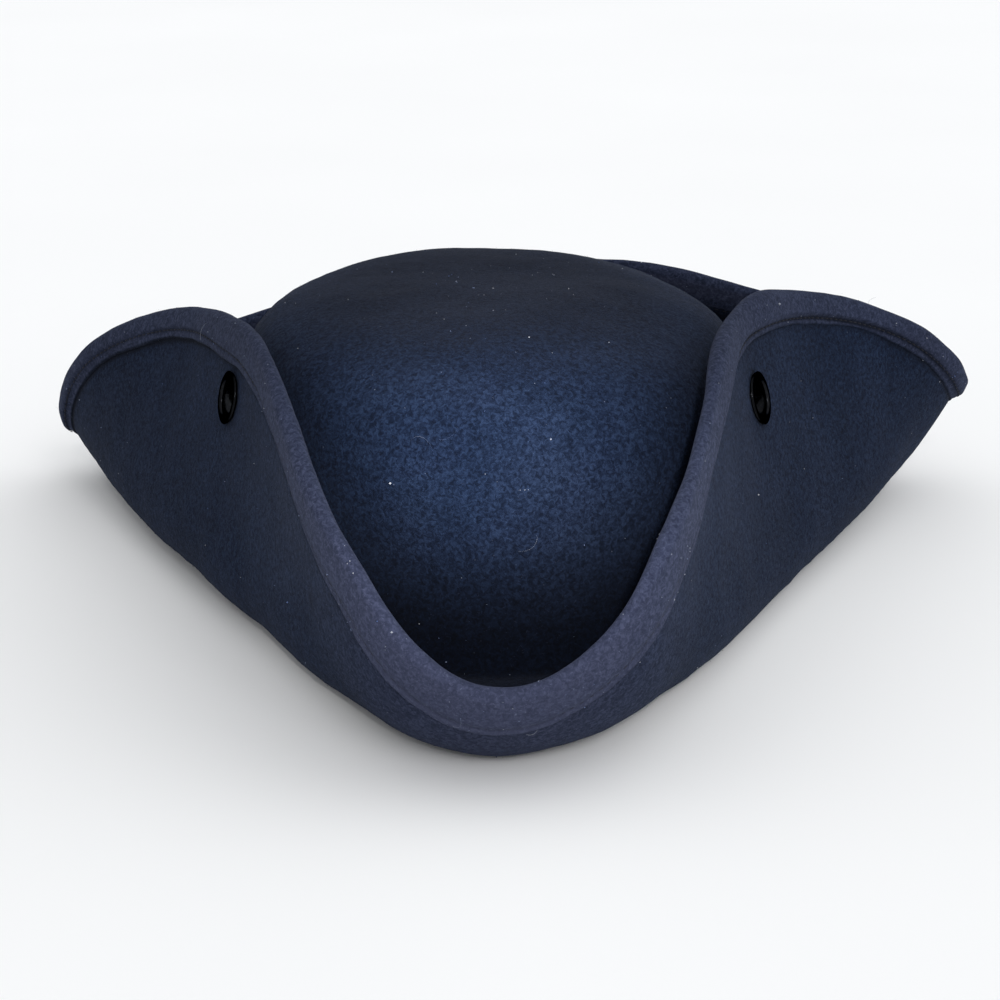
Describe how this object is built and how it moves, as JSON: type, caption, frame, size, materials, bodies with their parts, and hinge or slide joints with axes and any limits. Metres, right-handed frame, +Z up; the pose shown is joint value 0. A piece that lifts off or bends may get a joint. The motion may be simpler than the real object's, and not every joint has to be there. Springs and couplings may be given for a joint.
{
  "type": "tricorn hat",
  "caption": "Three-cornered felt hat: a round crown and a wide brim turned up along three soft creases, its edge hemmed, with a metal eyelet in each side flap",
  "frame": {"origin": "middle of the hat's bounding box in plan, at its bottom, which is the surface it rests on", "axes": "+Z up, -Y the front as worn, +X to the right as seen from the front"},
  "size_m": [0.3384, 0.3164, 0.0998],
  "materials": {
    "felt": "blue-black wool felt, matt with a short nap",
    "lacquered_metal": "black gloss lacquer"
  },
  "bodies": {
    "root": {"felt_body": "felt", "eyelet_left": "lacquered_metal", "eyelet_right": "lacquered_metal"}
  },
  "joints": []
}
